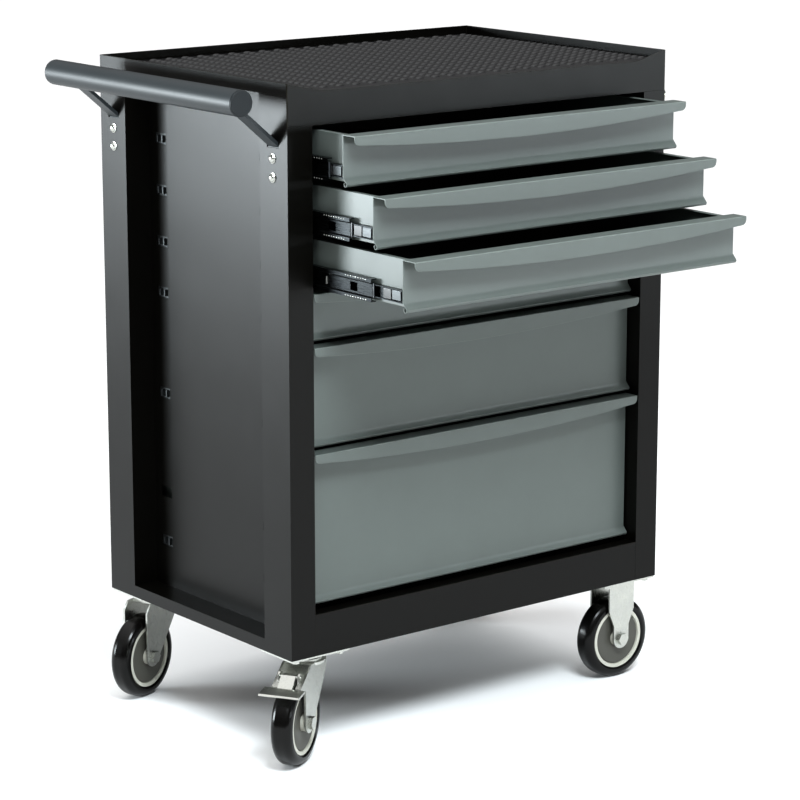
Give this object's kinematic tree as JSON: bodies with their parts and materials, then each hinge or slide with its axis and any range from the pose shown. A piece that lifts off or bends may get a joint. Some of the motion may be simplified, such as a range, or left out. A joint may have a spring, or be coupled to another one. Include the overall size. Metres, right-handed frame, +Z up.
{
  "type": "rolling tool chest",
  "caption": "Sheet-steel roller cabinet with lipped drawers on ball slides, a side push handle, a matted top tray and swivel and fixed casters.",
  "frame": {"origin": "the point on the floor under the middle of the cabinet body", "axes": "+Z up; the drawers open along -Y; +X to the right of a person facing the drawers, with the handle on the -X side"},
  "size_m": [0.7905, 0.68, 0.96],
  "materials": {
    "graphite_enamel": "satin, fine powder-coat grain",
    "handle_enamel": "satin",
    "grey_enamel": "satin",
    "zinc_slide": "bright zinc plate",
    "zinc_bolt": "bright zinc plate",
    "zinc_caster": "pressed, zinc plated",
    "lock_steel": "polished",
    "wheel_hub": "moulded",
    "tyre": "glossy moulded",
    "mat_rubber": "studded",
    "black_plastic": "moulded"
  },
  "bodies": {
    "root": {"left_side": "graphite_enamel", "right_side": "graphite_enamel", "top_tray": "graphite_enamel", "front_band": "graphite_enamel", "front_rail": "graphite_enamel", "floor_pan": "graphite_enamel", "back_panel": "graphite_enamel", "top_mat": "mat_rubber", "left_rails": "zinc_slide", "right_rails": "zinc_slide", "handle_tube": "handle_enamel", "handle_caps": "black_plastic", "front_arm": "handle_enamel", "rear_arm": "handle_enamel", "handle_bolts": "zinc_bolt", "lock_barrel": "lock_steel", "swivel_plates": "zinc_caster", "caster_bolts": "zinc_bolt", "fixed_axles": "zinc_bolt", "front_right_bracket": "zinc_caster", "rear_right_bracket": "zinc_caster"},
    "lock_plug": {"lock_plug": "lock_steel"},
    "lock_rod": {"lock_rod": "lock_steel"},
    "drawer_1": {"drawer_1_box": "grey_enamel", "drawer_1_front": "grey_enamel", "drawer_1_slides": "zinc_slide"},
    "middle_1": {"drawer_1_middle_slides": "zinc_slide"},
    "drawer_2": {"drawer_2_box": "grey_enamel", "drawer_2_front": "grey_enamel", "drawer_2_slides": "zinc_slide"},
    "middle_2": {"drawer_2_middle_slides": "zinc_slide"},
    "drawer_3": {"drawer_3_box": "grey_enamel", "drawer_3_front": "grey_enamel", "drawer_3_slides": "zinc_slide"},
    "middle_3": {"drawer_3_middle_slides": "zinc_slide"},
    "drawer_4": {"drawer_4_box": "grey_enamel", "drawer_4_front": "grey_enamel", "drawer_4_slides": "zinc_slide"},
    "middle_4": {"drawer_4_middle_slides": "zinc_slide"},
    "drawer_5": {"drawer_5_box": "grey_enamel", "drawer_5_front": "grey_enamel", "drawer_5_slides": "zinc_slide"},
    "middle_5": {"drawer_5_middle_slides": "zinc_slide"},
    "drawer_6": {"drawer_6_box": "grey_enamel", "drawer_6_front": "grey_enamel", "drawer_6_slides": "zinc_slide"},
    "middle_6": {"drawer_6_middle_slides": "zinc_slide"},
    "front_left_swivel": {"front_left_fork": "zinc_caster", "front_left_axle": "zinc_bolt"},
    "front_left_wheel": {"front_left_hub": "wheel_hub", "front_left_tyre": "tyre"},
    "front_left_brake": {"front_left_brake": "zinc_caster"},
    "rear_left_swivel": {"rear_left_fork": "zinc_caster", "rear_left_axle": "zinc_bolt"},
    "rear_left_wheel": {"rear_left_hub": "wheel_hub", "rear_left_tyre": "tyre"},
    "front_right_wheel": {"front_right_hub": "wheel_hub", "front_right_tyre": "tyre"},
    "rear_right_wheel": {"rear_right_hub": "wheel_hub", "rear_right_tyre": "tyre"}
  },
  "joints": [
    {"name": "drawer_1_slide", "type": "slide", "parent": "root", "child": "drawer_1", "axis": [0, -1, 0], "range_m": [-0.091, 0.269]},
    {"name": "middle_1_slide", "type": "slide", "parent": "root", "child": "middle_1", "axis": [0, -1, 0], "range_m": [-0.06825, 0.20175]},
    {"name": "drawer_2_slide", "type": "slide", "parent": "root", "child": "drawer_2", "axis": [0, -1, 0], "range_m": [-0.156, 0.204]},
    {"name": "middle_2_slide", "type": "slide", "parent": "root", "child": "middle_2", "axis": [0, -1, 0], "range_m": [-0.117, 0.153]},
    {"name": "drawer_3_slide", "type": "slide", "parent": "root", "child": "drawer_3", "axis": [0, -1, 0], "range_m": [-0.219, 0.141]},
    {"name": "middle_3_slide", "type": "slide", "parent": "root", "child": "middle_3", "axis": [0, -1, 0], "range_m": [-0.16425, 0.10575]},
    {"name": "drawer_4_slide", "type": "slide", "parent": "root", "child": "drawer_4", "axis": [0, -1, 0], "range_m": [0, 0.36]},
    {"name": "middle_4_slide", "type": "slide", "parent": "root", "child": "middle_4", "axis": [0, -1, 0], "range_m": [0, 0.27]},
    {"name": "drawer_5_slide", "type": "slide", "parent": "root", "child": "drawer_5", "axis": [0, -1, 0], "range_m": [0, 0.36]},
    {"name": "middle_5_slide", "type": "slide", "parent": "root", "child": "middle_5", "axis": [0, -1, 0], "range_m": [0, 0.27]},
    {"name": "drawer_6_slide", "type": "slide", "parent": "root", "child": "drawer_6", "axis": [0, -1, 0], "range_m": [0, 0.36]},
    {"name": "middle_6_slide", "type": "slide", "parent": "root", "child": "middle_6", "axis": [0, -1, 0], "range_m": [0, 0.27]},
    {"name": "lock_turn", "type": "hinge", "parent": "root", "child": "lock_plug", "pos_m": [0.3435, -0.212, 0.893], "axis": [1, 0, 0], "range_deg": [0, 90]},
    {"name": "lock_rod_lift", "type": "slide", "parent": "root", "child": "lock_rod", "axis": [0, 0, 1], "range_m": [0, 0.01]},
    {"name": "front_left_swivel_turn", "type": "hinge", "parent": "root", "child": "front_left_swivel", "pos_m": [-0.292, -0.19, 0.149], "axis": [0, 0, 1], "continuous": true},
    {"name": "front_left_wheel_turn", "type": "hinge", "parent": "front_left_swivel", "child": "front_left_wheel", "pos_m": [-0.32338, -0.20961, 0.0625], "axis": [0.5299, -0.848, 0], "continuous": true},
    {"name": "front_left_brake_press", "type": "hinge", "parent": "front_left_swivel", "child": "front_left_brake", "pos_m": [-0.34034, -0.22021, 0.133], "axis": [0.5299, -0.848, 0], "range_deg": [0, 12]},
    {"name": "rear_left_swivel_turn", "type": "hinge", "parent": "root", "child": "rear_left_swivel", "pos_m": [-0.292, 0.19, 0.149], "axis": [0, 0, 1], "continuous": true},
    {"name": "rear_left_wheel_turn", "type": "hinge", "parent": "rear_left_swivel", "child": "rear_left_wheel", "pos_m": [-0.32654, 0.17674, 0.0625], "axis": [0.3584, -0.9336, 0], "continuous": true},
    {"name": "front_right_wheel_turn", "type": "hinge", "parent": "root", "child": "front_right_wheel", "pos_m": [0.292, -0.19, 0.0625], "axis": [0, 1, 0], "continuous": true},
    {"name": "rear_right_wheel_turn", "type": "hinge", "parent": "root", "child": "rear_right_wheel", "pos_m": [0.292, 0.19, 0.0625], "axis": [0, 1, 0], "continuous": true}
  ],
  "couplings": [
    {"joint": "middle_1_slide", "follows": "drawer_1_slide", "ratio": 0.75},
    {"joint": "middle_2_slide", "follows": "drawer_2_slide", "ratio": 0.75},
    {"joint": "middle_3_slide", "follows": "drawer_3_slide", "ratio": 0.75},
    {"joint": "middle_4_slide", "follows": "drawer_4_slide", "ratio": 0.75},
    {"joint": "middle_5_slide", "follows": "drawer_5_slide", "ratio": 0.75},
    {"joint": "middle_6_slide", "follows": "drawer_6_slide", "ratio": 0.75},
    {"joint": "lock_turn", "follows": "lock_rod_lift", "rad_per_m": 157.07}
  ]
}
